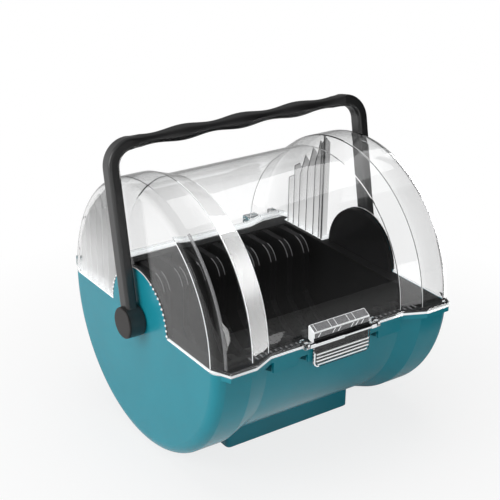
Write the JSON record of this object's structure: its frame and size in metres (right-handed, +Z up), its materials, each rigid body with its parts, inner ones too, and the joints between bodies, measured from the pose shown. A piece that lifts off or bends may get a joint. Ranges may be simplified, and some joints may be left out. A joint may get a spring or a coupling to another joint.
{
  "type": "saw blade storage case",
  "caption": "Drum shaped storage case for circular saw blades: moulded tub with a rack of dividers, clear hinged lid, front latch flap and swinging bail handle",
  "frame": {"origin": "on the floor, under the middle of the drum, in the middle of the foot's flat underside", "axes": "X along the drum axis, from hub to hub; -Y towards the latch; +Z up"},
  "size_m": [0.3096, 0.2939, 0.3065],
  "materials": {
    "teal_plastic": "moulded, satin gloss",
    "black_plastic": "moulded, fine grain",
    "clear_plastic": "clear, polished",
    "handle_plastic": "moulded, satin",
    "cap_plastic": "moulded, satin",
    "steel": "drawn wire"
  },
  "bodies": {
    "tub": {"tub_shell": "teal_plastic", "foot_block": "teal_plastic", "rack_tray": "black_plastic", "rack_deck": "black_plastic", "rack_end_left": "black_plastic", "rack_end_right": "black_plastic", "divider_01": "black_plastic", "divider_02": "black_plastic", "divider_03": "black_plastic", "divider_04": "black_plastic", "divider_05": "black_plastic", "divider_06": "black_plastic", "divider_07": "black_plastic", "divider_08": "black_plastic", "divider_09": "black_plastic", "divider_10": "black_plastic", "divider_11": "black_plastic", "hinge_pin_left": "steel", "hinge_pin_right": "steel", "pivot_pin_left": "steel", "pivot_pin_right": "steel", "pivot_ring_left": "steel", "pivot_ring_right": "steel", "pivot_washer_left": "cap_plastic", "pivot_washer_right": "cap_plastic"},
    "lid": {"lid_shell": "clear_plastic", "latch_pin": "steel"},
    "latch": {"latch_flap": "clear_plastic"},
    "handle": {"handle_bail": "handle_plastic", "hub_cap_left": "cap_plastic", "hub_cap_right": "cap_plastic"}
  },
  "joints": [
    {"name": "lid_hinge", "type": "hinge", "parent": "tub", "child": "lid", "pos_m": [0, 0.1472, 0.1325], "axis": [-1, 0, 0], "range_deg": [0, 42]},
    {"name": "handle_pivot", "type": "hinge", "parent": "tub", "child": "handle", "pos_m": [0, 0, 0.1355], "axis": [-1, 0, 0], "range_deg": [0, 126]},
    {"name": "latch_hinge", "type": "hinge", "parent": "lid", "child": "latch", "pos_m": [0, -0.1362, 0.1391], "axis": [-1, 0, 0], "range_deg": [0, 80]}
  ],
  "couplings": [
    {"joint": "handle_pivot", "follows": "lid_hinge", "ratio": 3}
  ]
}
